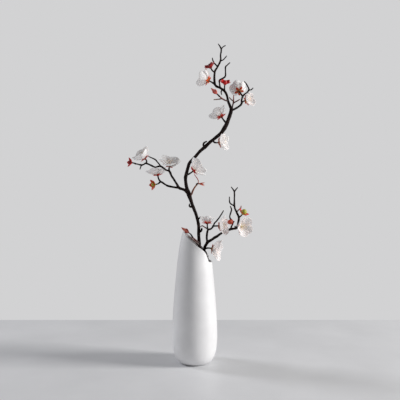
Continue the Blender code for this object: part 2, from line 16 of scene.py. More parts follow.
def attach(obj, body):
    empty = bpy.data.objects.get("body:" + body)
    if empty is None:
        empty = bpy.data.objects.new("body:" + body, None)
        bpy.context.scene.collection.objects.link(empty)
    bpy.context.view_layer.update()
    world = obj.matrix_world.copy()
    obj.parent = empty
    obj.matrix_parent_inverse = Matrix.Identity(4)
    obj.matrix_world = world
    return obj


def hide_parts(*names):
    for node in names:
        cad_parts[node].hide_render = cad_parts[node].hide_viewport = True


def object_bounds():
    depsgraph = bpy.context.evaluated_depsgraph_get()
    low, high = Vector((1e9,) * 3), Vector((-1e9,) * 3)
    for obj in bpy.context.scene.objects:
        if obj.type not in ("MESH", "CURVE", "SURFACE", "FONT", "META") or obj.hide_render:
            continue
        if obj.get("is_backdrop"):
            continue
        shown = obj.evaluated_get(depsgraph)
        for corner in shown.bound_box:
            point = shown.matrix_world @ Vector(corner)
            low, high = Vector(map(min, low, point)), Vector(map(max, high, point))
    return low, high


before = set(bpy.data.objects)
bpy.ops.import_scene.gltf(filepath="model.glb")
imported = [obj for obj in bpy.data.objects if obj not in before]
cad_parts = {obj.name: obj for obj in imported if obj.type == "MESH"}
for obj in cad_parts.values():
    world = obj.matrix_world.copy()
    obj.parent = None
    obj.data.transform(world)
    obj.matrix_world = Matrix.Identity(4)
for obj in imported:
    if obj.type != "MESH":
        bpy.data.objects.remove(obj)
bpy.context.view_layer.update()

MM = 0.001
SEED = 11
EYE = Vector((12, -1122, 371))
LENS = 43.92
# Distances in metres under which vertices are welded, of turned solids and of limbs
WELD = 0.00001
TUBE_WELD = 0.000002
SHARP_EDGE = math.radians(50)

# Vase: foot, outer and floor profiles as (radius, height), the mouth's slanting curve as (across, up), and
# the wall's thickness low down and at the top
FOOT_PROFILE = [(0, 0.9), (23.5, 0.9), (24.5, 0), (28.4, 0), (29.4, 0.4)]
FLOOR_PROFILE = [(41, 14), (36, 10), (30, 8), (0, 8)]
VASE_PROFILE = [
    (34, 1.2), (41, 7), (46, 16), (49.5, 30), (51.4, 50), (51.5, 75), (49.5, 120), (45, 177), (38, 245),
    (31, 286), (26.5, 300), (21.5, 312),
]
MOUTH_CURVE = [
    (-42, 318), (-27.6, 299.5), (-17, 287.5), (4.6, 269), (19, 258.5), (27, 249.5), (31.5, 237.5),
    (35, 230), (60, 226),
]
MOUTH_TURN = math.radians(-4)
WALL_LOW = 5
WALL_TOP = 3.2
STRAIGHT_BELOW = 150
VASE_COLUMNS = 144

# Forks of the branch as (across, up, back)
FORKS = {
    "rim": (10.8, 242, 20.5), "mouth_bloom": (21.9, 258, 13), "right_low": (29.2, 274, 8),
    "right_stem": (30, 302, 8), "right_inner": (43, 311, 13), "upright": (83.3, 304, -8),
    "right_calyx": (101.2, 330.5, 2), "right_twig": (96, 343, 4), "right_high": (91, 358, 4),
    "right_tips": (91, 389, 0), "left": (-14, 385, 15), "left_two": (-36.3, 399, 8),
    "left_low": (-78, 413, 10), "left_high": (-58.7, 438, -4), "left_fine": (-78, 448.5, -8),
    "left_outer": (-111.6, 455.4, -12), "left_twig": (-122.6, 451.3, -13), "side": (83.7, 577, -9),
    "side_right": (107.4, 592, -12), "side_back": (110.2, 609, -8), "side_tip": (124.2, 624, -6),
    "shoot": (88.6, 594, -14), "pink": (76.4, 598.5, -4), "crown_low": (58, 629, 5),
    "crown": (46.5, 636.4, 8), "crown_bud": (45.8, 664.5, 11), "tip_left": (52.2, 676.7, 10),
    "tip_right": (59.1, 691.6, 8), "tips": (60.8, 718, 4),
}

# Each limb as its points (across, up, back, radius), where a fork's name stands for its place
LIMBS = {
    "trunk": [
        (-18, 4.65, -12, 4.9), (-17.4, 16, -11.5, 4.8), (-11, 70, -4, 4.5), (6, 200, 15, 4.1),
        ("rim", 4.3), (10.8, 265, 24.4, 4), (9, 290, 24.4, 3.9), (8.7, 313, 22.6, 3.7),
        (3.5, 336, 21, 3.6), (-1, 348, 20, 3.9), (-5.3, 359, 18, 3.8), (-9.2, 371, 16.5, 4.3),
        ("left", 5.5), (-19, 401, 14, 4.2), (-21.4, 419, 13, 3.9), (-20.2, 428, 12.5, 4.2),
        (-16.5, 442, 11, 3.8), (-12.2, 456, 9, 3.7), (-4.5, 463.5, 7, 4.1), (1.6, 471, 5, 3.7),
        (12, 483, 1, 3.6), (23.5, 493, -3, 4.3), (35, 504, -6, 3.7), (47.6, 514, -9, 3.8),
        (60.3, 525, -12, 4.1), (68, 536, -13, 5.1), (75, 550, -13, 4.4), ("side", 4.3),
        (81, 587, -7, 3.2), ("pink", 3), (74, 611, 0, 2.6), (68.3, 621.5, 3, 2.8), ("crown_low", 2.6),
        ("crown", 2.9), ("crown_bud", 2.4), ("tip_left", 2.2), ("tip_right", 2.1), (59.2, 704, 6, 1.8),
        ("tips", 1.8), (54, 729.6, 2, 1.1),
    ],
    "tip_twig_a": [("tips", 1.5), (65, 723, 4, 1.4), (70.2, 726, 4, 1.1)],
    "tip_twig_b": [("tip_right", 1.7), (65, 693, 6, 1.5), (73.1, 702, 3, 1.1)],
    "tip_twig_c": [
        ("tip_left", 1.7), (48.3, 682, 12, 1.6), (44.2, 686.3, 14, 1.5), (41.2, 692.8, 15, 1.4),
        (40.5, 697.4, 15, 1.1),
    ],
    "crown_twig": [
        ("crown_low", 2), (56.8, 640, 0, 1.8), (57.2, 646.5, -3, 1.9), (69.5, 654.5, -9, 1.9),
        (70.6, 665, -10, 1.6), (70.6, 676.7, -10, 1.7), (74.1, 680.6, -11, 1.5), (80.5, 686.6, -12, 1.1),
    ],
    "pink_stalk": [("pink", 1.8), (70.6, 600, -9, 1.7), (63, 604, -13, 1.8), (57, 609, -16, 1.4)],
    "pink_twig": [(63, 604, -13, 1.5), (54, 602.6, -16, 1.4), (44, 601.7, -18, 1.1)],
    "hanging_twig": [(64, 625.5, 4, 1.6), (60.5, 620, 3, 1.5), (62, 613.4, 2, 1.1)],
    "side_bough": [
        ("side", 3.1), (90.2, 579.4, -10, 2.5), (102.8, 587, -12, 2.3), ("side_right", 2.6),
        (107.8, 600.8, -11, 2.1), ("side_back", 2.3), (116.2, 615.7, -7, 1.8), (120, 618, -6, 1.8),
        ("side_tip", 2), (123.7, 628.4, -5, 1.6), (117.8, 638.7, -3, 1.5), (113.9, 643.3, -2, 1.1),
    ],
    "side_twig": [("side_tip", 1.5), (129.3, 624.2, -8, 1.4), (133.9, 628.4, -9, 1.1)],
    "new_shoot": [
        (85.6, 578.5, -10, 2.1), (86.9, 588, -13, 1.7), ("shoot", 1.8), (89.2, 602, -15, 1.5),
        (89.2, 611, -16, 1.1),
    ],
    "shoot_left": [(88.9, 598, -14.5, 1.5), (82.8, 603, -17, 1.4), (79.4, 607, -18, 1.1)],
    "shoot_right": [("shoot", 1.5), (97, 598.5, -18, 1.4), (103, 602, -20, 1.1)],
    "elbow_hook": [
        (23.5, 493, -3, 2.8), (19.9, 497, -4, 2.4), (20.3, 501.2, -5, 2.1), (23.7, 504, -6, 1.9),
        (27.2, 505.6, -7, 1.5),
    ],
    "low_hook": [
        (-4, 356, 18.5, 2.8), (-10.4, 355.4, 17, 2.3), (-12.3, 358.4, 16, 2), (-12.2, 361.3, 15.5, 1.4),
    ],
    "neck_hook": [
        (8.8, 297, 24, 2.8), (14, 299.6, 21.5, 2.6), (16.2, 303.5, 20, 2.2), (16.4, 306, 19.5, 1.5),
    ],
    "neck_stub": [(6, 325, 22, 2.3), (11, 329.5, 20, 1.7), (12.6, 332, 19, 1.2)],
    "left_bough": [
        ("left", 4.5), (-21.4, 392.6, 12, 3.8), (-28.3, 396, 10, 3.2), ("left_two", 3.5),
        (-42, 408.7, 5, 2.5), (-47.8, 418, 2, 2.4), (-53.6, 427, -1, 2.4), ("left_high", 2.9),
        (-63.9, 439, -5, 2.1), (-68.5, 441.6, -6, 2.2), ("left_fine", 2.4), (-86.9, 447.4, -9, 1.9),
        (-92.7, 447, -9, 1.9), ("left_outer", 2.2), (-116.8, 452.9, -12, 1.7), ("left_twig", 2),
        (-129.5, 452.9, -13, 1.6), (-138, 454.8, -14, 1.4),
    ],
    "left_low_bough": [
        ("left_two", 2.6), (-45.5, 400, 9, 2.3), (-61.6, 403.4, 11, 2.4), (-68.5, 407, 11, 2.1),
        ("left_low", 2.4), (-83.5, 409.2, 9, 1.5),
    ],
    "left_fine_twig": [
        ("left_fine", 1.8), (-82.3, 454, -4, 1.6), (-86.9, 459.3, -1, 1.6), (-91, 464, 1, 1.7),
        (-101.9, 469.2, 5, 1.4), (-106, 471, 7, 1.1),
    ],
    "left_hanging_twig": [("left_twig", 1.6), (-124.4, 446.7, -15, 1.4), (-126, 442, -16, 1.1)],
    "red_shoot": [
        (-12.5, 381, 15.5, 2.2), (-8, 383.6, 10, 2.2), (-4.4, 392.5, 7, 2.1), (0.3, 400.8, 5, 1.8),
        (5.6, 407, 3, 1.5),
    ],
    "red_sprig": [(5, 406.3, 3.2, 1.1), (8.3, 412.5, 4, 1), (6.6, 419, 6.5, 0.95), (-0.7, 429.4, 9, 0.8)],
    "right_bough": [
        ("rim", 4.1), ("mouth_bloom", 3.7), (23.5, 264, 11, 3.5), (26.9, 269.6, 9, 3.5),
        ("right_low", 4.1), (35, 277.6, 4, 3.3), (40.7, 281, 1, 3), (46.5, 285, -3, 3.2),
        (52.2, 288, -6, 2.8), (58, 292.6, -8, 2.7), (70, 299.5, -9, 2.6), ("upright", 3.1),
        (90.2, 305.2, -7, 2.4), (95.5, 306, -6, 2.6), (98, 311, -4, 2.3), (99.4, 318, -2, 2.2),
        ("right_calyx", 2.7), ("right_twig", 2.5), (92.5, 351, 5, 2), ("right_high", 2.3),
        (91, 371, 2, 1.8), ("right_tips", 1.9), (87.5, 396, 0, 1.5), (84, 400.7, 1, 1.1),
    ],
    "right_tip_twig": [("right_tips", 1.6), (94.5, 395, -2, 1.5), (98.2, 399.5, -4, 1.1)],
    "right_left_twig": [
        ("right_high", 1.8), (85.6, 360.4, 6, 1.6), (81, 363.9, 8, 1.7), (79.7, 369, 9, 1.5),
        (79.6, 377.7, 10, 1.1),
    ],
    "right_red_twig": [
        ("right_twig", 1.8), (100.5, 347.8, 9, 1.6), (105.1, 350.8, 11, 1.6), (106.5, 357, 12, 1.1),
    ],
    "right_stem": [
        ("right_low", 2.8), (28.1, 279, 8, 2.5), (27.4, 286, 8, 2.4), ("right_stem", 2.8),
        (36.1, 304, 9.5, 2), (40.7, 308, 11.5, 2), ("right_inner", 2.3), (44.9, 317, 11, 1.7),
        (49.9, 322.5, 8, 1.7), (55.7, 329.8, 3, 1.6), (61.4, 338.6, 0, 1.5), (66, 346.6, -3, 1.1),
    ],
    "upright_twig": [
        ("upright", 2.3), (84, 309, -5, 2), (86.9, 315, -3, 1.8), (87.9, 319.5, -1, 1.8),
        (84.6, 324.5, 1, 2.2), (81.3, 329, 2, 1.8), (80.4, 333.5, 3, 1.7), (82, 340, 4, 1.6),
        (84.3, 347, 4, 1.7), (84, 351.5, 4, 1.5), (81.7, 356.3, 4, 1.1),
    ],
    "right_stub": [(94, 305.8, -6.5, 2.3), (92.6, 310.5, -9, 1.5)],
    "pale_curl": [(29.8, 304, 8, 1.7), (22, 309, 5, 1.4), (17, 311.8, 7, 1.4), (13.6, 310, 8, 1.1)],
    "neck_stalk": [(10, 272, 23, 2.4), (0.5, 280, 19, 1.9), (-5.3, 285.7, 16, 1.5)],
    "neck_twig": [
        (10.3, 268, 23, 2.2), (2.8, 273.5, 19, 1.8), (-4.1, 279.3, 16, 1.6), (-9.9, 284, 14, 1.5),
        (-14.8, 288, 12, 1.1),
    ],
}

# Young wood that isn't bark yet, and its finish
YOUNG_LIMBS = {
    "red_shoot": "red", "red_sprig": "sprig", "new_shoot": "brown", "shoot_left": "dull",
    "shoot_right": "brown", "pink_stalk": "brown", "pink_twig": "dull", "pale_curl": "dull",
    "neck_twig": "dull", "neck_stalk": "brown", "right_red_twig": "brown",
}

# Blooms: calyx (across, up, back), facing (right, back, up), petal length, opening at the root and the
# tip, roll, and the stalk's root
BLOOMS = {
    "crown_left": ((33.6, 644.6, 10), (-0.82, 0.3, 0.46), 28.5, 76, 24, 20, ("crown",)),
    "crown_back": ((103, 620, 4), (-0.22, 0.7, 0.68), 25, 76, 24, 0, ("side_back",)),
    "crown_right": ((115, 599, -24), (0.82, -0.52, 0.18), 21, 72, 20, 50, ("side_right",)),
    "upper_left": ((62.2, 560.5, -6), (-0.52, 0.27, 0.8), 26.5, 76, 28, 10, (73, 547, -13)),
    "upper_right": ((53.4, 503, -26), (0.94, -0.3, 0.12), 26, 76, 22, 30, (42, 509, -8)),
    "middle": ((-5, 436.5, -16), (0.74, 0.2, 0.6), 31, 77, 26, 0, (-19.5, 430, 12)),
    "left_outer": ((-113, 464.5, -14), (-0.6, -0.32, 0.72), 28.5, 76, 24, 15, ("left_outer",)),
    "left_inner": ((-58.8, 447, -14), (0.12, -0.45, 0.88), 29, 82, 38, 40, ("left_high",)),
    "left_lower": ((-84.5, 425.5, 20), (-0.16, 0.06, 0.98), 28, 84, 44, 0, ("left_low",)),
    "right_inner": ((28.8, 315, 0), (0, 0.3, 0.95), 20, 74, 28, 25, ("right_stem",)),
    "right_middle": ((54, 311.5, -27), (0.93, -0.36, 0.05), 26.5, 82, 32, 24, ("right_inner",)),
    "right_outer": ((105, 310.5, -19), (0.55, -0.83, -0.05), 27, 79, 28, 55, (98, 311, -4)),
    "mouth": ((36.8, 260, 0), (0.95, -0.2, -0.15), 31, 76, 22, 5, ("mouth_bloom",)),
}
BLUSHED_BLOOMS = ("right_outer", "crown_right", "right_middle", "mouth")

# Buds: base (across, up, back), facing (right, back, up), length, form, stalk's root, finish of the lobes
# and of the body
BUDS = {
    "crown_left": (
        (37.5, 673.5, 4), (-0.45, -0.42, 0.79), 16.5, "star", ("crown_bud",), "dark_red", "dark_red",
    ),
    "crown_right": ((69, 635.4, -3), (0.1, -0.52, 0.85), 16, "star", (68.3, 621.5, 3), "crimson", "red"),
    "crown_pink": ((51.3, 614.8, -19), (-0.7, -0.1, 0.65), 20, "bud", (57, 609, -16), "rose", "rose"),
    "left_outer": (
        (-143.8, 456.6, -14), (-0.84, -0.5, 0.14), 13, "star", (-136, 454.3, -14), "crimson", "dark_red",
    ),
    "left_lower": (
        (-90.3, 406.8, 6), (-0.82, -0.55, -0.12), 15, "star", ("left_low",), "orange", "green",
    ),
    "right_inner": (
        (86.4, 321.4, -19), (-0.72, -0.68, -0.1), 15, "plump", (86.9, 318.5, -2), "dark_red", "orange",
    ),
    "right_outer": ((109.4, 338.4, 0), (0.5, -0.45, 0.74), 16, "ripe", ("right_calyx",), "red", "green"),
    "neck": (
        (-13.6, 295.6, 10), (-0.8, -0.2, 0.58), 22.5, "bud", (-5.3, 285.7, 16), "dark_red", "salmon",
    ),
    "trunk": ((8, 408.6, 1.6), (0.95, -0.2, -0.1), 15, "sprout", (4.2, 405.5, 3.4), "salmon", "orange"),
}

# Buds' shapes as shares of their length: body's profile, then the lobes as
# (count, root out, root up, length, width, angle from the axis at the root, and at the tip)
BUD_FORMS = {
    "bud": (
        [(0, 0), (0.065, 0), (0.1, 0.05), (0.16, 0.17), (0.19, 0.35), (0.175, 0.52), (0.13, 0.7),
         (0.06, 0.88), (0.015, 0.98), (0, 1)],
        (3, 0.03, 0.05, 0.58, 0.24, 58, -20),
    ),
    "star": (
        [(0, 0), (0.12, 0), (0.19, 0.07), (0.27, 0.18), (0.3, 0.3), (0.28, 0.46), (0.2, 0.6),
         (0.09, 0.69), (0, 0.71)],
        (5, 0.12, 0.18, 0.9, 0.68, 78, 36),
    ),
    "ripe": (
        [(0, 0), (0.14, 0), (0.25, 0.06), (0.36, 0.18), (0.41, 0.34), (0.4, 0.52), (0.31, 0.7),
         (0.15, 0.82), (0, 0.85)],
        (5, 0.13, 0.16, 0.85, 0.5, 84, 50),
    ),
    "plump": (
        [(0, 0), (0.1, 0), (0.2, 0.06), (0.32, 0.2), (0.37, 0.4), (0.35, 0.6), (0.24, 0.82),
         (0.1, 0.95), (0, 0.98)],
        (3, 0.06, 0.03, 0.5, 0.38, 88, 5),
    ),
    "sprout": (
        [(0, 0), (0.08, 0), (0.1, 0.05), (0.095, 0.13), (0.04, 0.22), (0, 0.24)],
        (3, 0.03, 0.09, 0.94, 0.2, 22, 10),
    ),
}

# Limbs' surfaces in metres: spacing of a line's points, reach of the easing at a fork, size and height of
# the bark's lumps; and a limb's unevenness as a share of its radius, with its waves per metre
LINE_STEP = 0.0022
FORK_REACH = 0.006
LUMP_SIZE = 0.006
LUMP_HEIGHT = 0.0008
UNEVENNESS = 0.07
UNEVEN_WAVES = 190

# Flower stalks: radius at the root and at the end
BLOOM_STALK = (2.3, 1.7)
BUD_STALK = (2, 1.5)

# A bloom's parts about its own axis, as (radius, height) from the cup's underside upwards
PETALS = 5
CUP = [(0, 0), (1.6, 0), (1.95, 0.25), (2.5, 0.9), (3, 1.8), (3.4, 2.7), (3.3, 3.15), (2.9, 3.3), (0, 3.3)]
PETAL_DISC = [(0, 3.6), (2.8, 3.6), (3.2, 4.1), (3.2, 5.3), (2.7, 5.9), (0, 6.1)]
STAMEN_DISC = [(0, 6.5), (1.7, 6.5), (2, 6.9), (1.8, 7.4), (1, 7.6), (0, 7.6)]
PETAL_ROOT = (1.9, 4.6)
PETAL_THICKNESS = 0.35
PETAL_BREADTH = 1.04
PETAL_TWIST = math.radians(10)
# Height of a petal's ripples as a share of its length, and the ripples' size in metres
PETAL_RIPPLE = 0.11
RIPPLE_SIZE = 0.009
SEPAL_ROOT = (1.2, 2.3)
SEPAL_LENGTH = 11.6
SEPAL_WIDTH = 6
SEPAL_THICKNESS = 0.7
SEPAL_ANGLES = (92, 70)
SEPAL_CUP = math.radians(40)
LOBE_CUP = math.radians(70)
SEPAL_RIPPLE = 0.8
STAMENS = 19
STAMEN_FOOT = 6.9
STAMEN_LEANS = (4, 40)
STAMEN_REACH = (0.28, 0.46)
FILAMENT_RADIUS = 0.16
ANTHER_SIZE = (0.42, 0.34, 0.62)

TABLE_BACK = 0.387
TABLE_HALF = 2.2


def linear(code):
    """Linear colour of an sRGB hex value."""
    channels = [int(code[start:start + 2], 16) / 255 for start in (1, 3, 5)]
    return (*[c / 12.92 if c <= 0.04045 else ((c + 0.055) / 1.055) ** 2.4 for c in channels], 1)


def connect(made, part, inputs):
    """Sets a node's inputs. A value is a constant, the socket that the input is linked from, or a node whose
    first output it is linked from."""
    for name, value in inputs.items():
        if isinstance(value, bpy.types.Node):
            value = value.outputs[0]
        if isinstance(value, bpy.types.NodeSocket):
            made.node_tree.links.new(value, part.inputs[name])
        else:
            part.inputs[name].default_value = value


def add(made, kind, inputs=None, stops=None, **settings):
    """Adds a node with its settings and links. Stops are a colour ramp's (place, hex) pairs."""
    part = made.node_tree.nodes.new("ShaderNode" + kind)
    for name, value in settings.items():
        setattr(part, name, value)
    for index, (place, code) in enumerate(stops or []):
        elements = part.color_ramp.elements
        stop = elements[index] if index < 2 else elements.new(place)
        stop.position = place
        stop.color = linear(code)
    connect(made, part, inputs or {})
    return part


def new_material(name):
    """A material and its Principled shader."""
    made = bpy.data.materials.new(name)
    made.use_nodes = True
    return made, made.node_tree.nodes["Principled BSDF"]


def finished(made, shader, colour, roughness, relief, more=None):
    """Sets a material's colour, roughness and relief, and what more it has."""
    connect(made, shader, {"Base Color": colour, "Roughness": roughness, "Normal": relief, **(more or {})})
    return made


def glazed_porcelain():
    # White porcelain under a satin glaze: even and smooth, with a soft broad shine and very faint waves
    # where the glaze ran
    made, shader = new_material("glazed_porcelain")
    place = add(made, "TexCoord").outputs["Object"]
    cloud = add(made, "TexNoise", {"Vector": place, "Scale": 22.0, "Detail": 2.0})
    tint = add(made, "ValToRGB", {"Fac": cloud}, stops=[(0.3, "#ebebec"), (0.7, "#f3f3f4")])
    run = add(made, "TexNoise", {"Vector": place, "Scale": 90.0, "Detail": 1.0})
    shine = add(made, "MapRange", {"Value": cloud, "To Min": 0.3, "To Max": 0.4})
    relief = add(made, "Bump", {"Height": run, "Strength": 0.08, "Distance": 0.0004})
    return finished(made, shader, tint, shine, relief,
                    {"IOR": 1.5, "Coat Weight": 0.25, "Coat Roughness": 0.2})


def bare_stoneware():
    # The foot ring has no glaze: dry, slightly gritty pale clay
    made, shader = new_material("bare_stoneware")
    place = add(made, "TexCoord").outputs["Object"]
    grit = add(made, "TexNoise", {"Vector": place, "Scale": 1400.0, "Detail": 3.0})
    tint = add(made, "ValToRGB", {"Fac": grit}, stops=[(0.35, "#bdb2a6"), (0.65, "#d6cdc2")])
    relief = add(made, "Bump", {"Height": grit, "Strength": 0.3, "Distance": 0.0002})
    return finished(made, shader, tint, 0.9, relief)


def plum_bark():
    # Plum bark: near black and dull, split lengthwise by fine cracks, with a brown skin where it is worn and
    # short pale breathing pores that lie across the limb
    made, shader = new_material("plum_bark")
    grain = add(made, "Attribute", attribute_name="grain").outputs["Vector"]
    along = add(made, "Mapping", {"Vector": grain, "Scale": (1.0, 1.0, 0.18)})
    across = add(made, "Mapping", {"Vector": grain, "Scale": (0.45, 0.45, 1.6)})
    mottle = add(made, "TexNoise", {"Vector": along, "Scale": 330.0, "Detail": 4.0})
    tint = add(made, "ValToRGB", {"Fac": mottle},
               stops=[(0.3, "#0d0504"), (0.78, "#321b14"), (0.55, "#1a0b08")])
    pores = add(made, "TexVoronoi", {"Vector": across, "Scale": 330.0})
    spot = add(made, "ValToRGB", {"Fac": pores}, stops=[(0.1, "#ffffff"), (0.2, "#000000")])
    tone = add(made, "Mix", {"Factor": spot, 6: tint, 7: linear("#452c22")}, data_type="RGBA")
    cracks = add(made, "TexVoronoi", {"Vector": along, "Scale": 520.0}, feature="DISTANCE_TO_EDGE")
    groove = add(made, "MapRange", {"Value": cracks, "From Max": 0.14})
    height = add(made, "Math", {0: groove, 1: mottle}, operation="ADD")
    relief = add(made, "Bump", {"Height": height, "Strength": 0.7, "Distance": 0.0004})
    return finished(made, shader, tone.outputs[2], 0.75, relief, {"Specular IOR Level": 0.2})


def young_wood(name, root, middle, tip):
    # This year's shoot: thin smooth skin that still shines a little, darker where it is older
    made, shader = new_material(name)
    growth = add(made, "Attribute", attribute_name="growth").outputs["Fac"]
    tint = add(made, "ValToRGB", {"Fac": growth}, stops=[(0.1, root), (0.95, tip), (0.5, middle)])
    place = add(made, "TexCoord").outputs["Object"]
    ridge = add(made, "TexNoise", {"Vector": place, "Scale": 700.0, "Detail": 2.0})
    relief = add(made, "Bump", {"Height": ridge, "Strength": 0.3, "Distance": 0.0002})
    return finished(made, shader, tint, 0.45, relief)


def petal_skin(name, claw, blade_tone, edge):
    # A fresh petal: matt, soft and thin enough for light to spread in it, with fine veins that fan out from
    # a beige claw; veins are drawn 2 mm apart so that they show
    made, shader = new_material(name)
    spot = add(made, "UVMap", uv_map="blade")
    axes = add(made, "SeparateXYZ", {"Vector": spot})
    tint = add(made, "ValToRGB", {"Fac": axes.outputs["Y"]},
               stops=[(0.04, claw), (1, edge), (0.32, blade_tone)])
    veins = add(made, "TexWave",
                {"Vector": spot, "Scale": 3.6, "Distortion": 2.5, "Detail": 2.0, "Detail Scale": 1.5},
                bands_direction="X")
    thin = add(made, "MapRange", {"Value": veins.outputs["Fac"], "From Min": 0.75, "To Max": 0.07})
    tone = add(made, "Mix", {"Factor": thin, 6: tint, 7: linear("#d8b9b2")}, data_type="RGBA")
    relief = add(made, "Bump", {"Height": veins.outputs["Fac"], "Strength": 0.12, "Distance": 0.0001})
    return finished(made, shader, tone.outputs[2], 0.62, relief, {
        "Subsurface Weight": 0.6,
        "Subsurface Radius": (1.0, 0.9, 0.85),
        "Subsurface Scale": 0.003,
        "Sheen Weight": 0.08,
    })


def sepal_skin(name, root, middle, tip):
    # A sepal: leathery, faintly ribbed, with its colour changing from the receptacle to the tip
    made, shader = new_material(name)
    spot = add(made, "UVMap", uv_map="blade")
    axes = add(made, "SeparateXYZ", {"Vector": spot})
    place = add(made, "TexCoord").outputs["Object"]
    fleck = add(made, "TexNoise", {"Vector": place, "Scale": 420.0, "Detail": 3.0})
    shift = add(made, "Math", {0: fleck, 1: 0.35, 2: axes.outputs["Y"]}, operation="MULTIPLY_ADD")
    tint = add(made, "ValToRGB", {"Fac": shift}, stops=[(0.18, root), (1, tip), (0.55, middle)])
    relief = add(made, "Bump", {"Height": fleck, "Strength": 0.35, "Distance": 0.0003})
    return finished(made, shader, tint, 0.55, relief, {
        "Specular IOR Level": 0.3,
        "Subsurface Weight": 0.1,
        "Subsurface Radius": (1.0, 0.3, 0.2),
        "Subsurface Scale": 0.001,
    })


def plain_plant(name, low, high, roughness, grain):
    # Soft plant tissue seen only as small parts: two close tones in grains of the size given in millimetres
    made, shader = new_material(name)
    place = add(made, "TexCoord").outputs["Object"]
    fleck = add(made, "TexNoise", {"Vector": place, "Scale": 1000 / grain, "Detail": 2.0})
    tint = add(made, "ValToRGB", {"Fac": fleck}, stops=[(0.35, low), (0.65, high)])
    relief = add(made, "Bump", {"Height": fleck, "Strength": 0.4, "Distance": 0.0001})
    return finished(made, shader, tint, roughness, relief,
                    {"Subsurface Weight": 0.1, "Subsurface Scale": 0.001})


def in_depth(across, up, back):
    """The point of the front view, moved back along the line of sight, in metres."""
    drawn = Vector((across, 0, up))
    return (EYE + (drawn - EYE) * ((back - EYE.y) / -EYE.y)) * MM


def smooth(points, spacing):
    """Catmull-Rom line through vectors of any size, with a point about every spacing."""
    line = []
    for index in range(len(points) - 1):
        before = points[max(index - 1, 0)]
        start = points[index]
        end = points[index + 1]
        after = points[min(index + 2, len(points) - 1)]
        steps = max(1, round((end - start).length / spacing))
        for step in range(steps):
            t = step / steps
            bend = (2 * before - 5 * start + 4 * end - after) * t * t
            swing = (3 * start - before - 3 * end + after) * t * t * t
            line.append((2 * start + (end - before) * t + bend + swing) / 2)
    line.append(points[-1])
    return line


def only(*objs):
    """Leaves these objects selected, with the first one active."""
    bpy.ops.object.select_all(action="DESELECT")
    for obj in objs:
        obj.select_set(True)
    bpy.context.view_layer.objects.active = objs[0]


def select_points(obj, chosen):
    """In edit mode, selects the vertices whose index is chosen."""
    shape = bmesh.from_edit_mesh(obj.data)
    shape.verts.ensure_lookup_table()
    for vert in shape.verts:
        vert.select_set(vert.index in chosen)
    shape.select_flush(True)
    bmesh.update_edit_mesh(obj.data)


def wear(obj, material):
    """Gives an object this one material."""
    obj.data.materials.clear()
    obj.data.materials.append(material)


def modify(obj, kind, **settings):
    """Adds a modifier with its settings."""
    modifier = obj.modifiers.new(kind.lower(), kind)
    for name, value in settings.items():
        setattr(modifier, name, value)


def apply_modifiers(obj):
    only(obj)
    for modifier in list(obj.modifiers):
        bpy.ops.object.modifier_apply(modifier=modifier.name)


def joined(name, pieces):
    only(*pieces)
    bpy.ops.object.join()
    pieces[0].name = name
    return pieces[0]


def own_copy(source, name):
    """A copy with its own mesh."""
    made = source.copy()
    made.data = source.data.copy()
    made.name = name
    bpy.context.collection.objects.link(made)
    return made


def close_mesh(threshold):
    """Welds the mesh, turns its faces outwards and leaves edit mode."""
    bpy.ops.mesh.select_all(action="SELECT")
    bpy.ops.mesh.remove_doubles(threshold=threshold)
    bpy.ops.mesh.normals_make_consistent(inside=False)
    bpy.ops.object.mode_set(mode="OBJECT")


def lathe(name, profile, columns, finish):
    """A turned solid: its profile is drawn by extruding one vertex, and spun about the upright axis."""
    bpy.ops.object.select_all(action="DESELECT")
    bpy.ops.mesh.primitive_plane_add(size=MM)
    obj = bpy.context.object
    obj.name = name
    bpy.ops.object.mode_set(mode="EDIT")
    bpy.ops.mesh.merge(type="CENTER")
    points = [Vector((radius * MM, 0, height * MM)) for radius, height in profile]
    bpy.ops.transform.translate(value=points[0])
    for start, end in zip(points, points[1:]):
        bpy.ops.mesh.extrude_region_move(TRANSFORM_OT_translate={"value": end - start})
    bpy.ops.mesh.select_all(action="SELECT")
    bpy.ops.mesh.spin(steps=columns, angle=math.tau, center=(0, 0, 0), axis=(0, 0, 1))
    close_mesh(WELD)
    wear(obj, finish)
    bpy.ops.object.shade_smooth_by_angle(angle=SHARP_EDGE)
    return obj


def between(table, value):
    """The second number at the value, between a table's (first, second) rows."""
    for (low, start), (high, end) in zip(table, table[1:]):
        if value <= high:
            return start + (end - start) * max(value - low, 0) / (high - low)
    return table[-1][1]


def mouth_height(radius_at, angle):
    """Height at which the wall, seen from the axis at this angle, meets the mouth's curve."""
    low = STRAIGHT_BELOW
    high = MOUTH_CURVE[0][1]
    for _ in range(40):
        middle = (low + high) / 2
        across = radius_at(middle) * math.cos(angle - MOUTH_TURN)
        if between(MOUTH_LINE, across) > middle:
            low = middle
        else:
            high = middle
    return low


